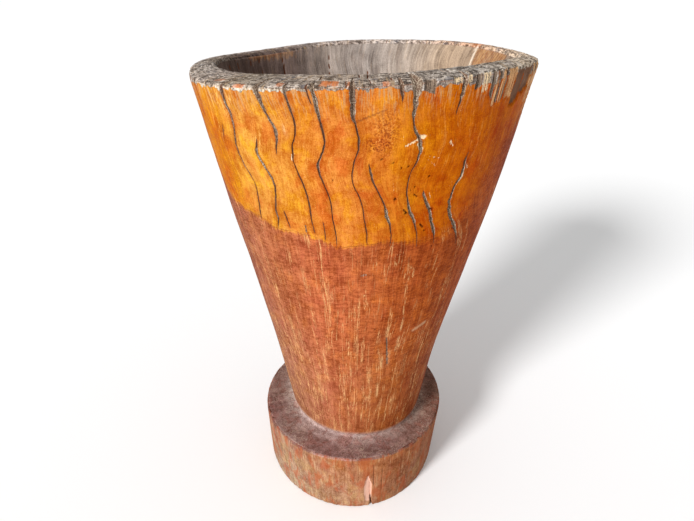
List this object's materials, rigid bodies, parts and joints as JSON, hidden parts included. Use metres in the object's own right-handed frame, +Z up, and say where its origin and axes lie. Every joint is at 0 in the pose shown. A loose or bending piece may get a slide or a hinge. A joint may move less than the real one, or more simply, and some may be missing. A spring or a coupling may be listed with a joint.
{
  "type": "wooden grain mortar",
  "caption": "Tall conical grain mortar hewn from one log, with a deep open bowl and a short round foot, in worn red-brown heartwood and amber sapwood.",
  "frame": {"origin": "middle of the foot's flat resting face, on the ground", "axes": "+Z up along the vessel's axis, -Y towards the front, +X to the right seen from the front"},
  "size_m": [0.4083, 0.4098, 0.6389],
  "materials": {
    "heartwood": "dry, worn, hewn red-brown heartwood",
    "sapwood": "worn, slightly polished amber sapwood with open drying checks"
  },
  "bodies": {
    "root": {"heartwood": "heartwood", "sapwood": "sapwood"}
  },
  "joints": []
}
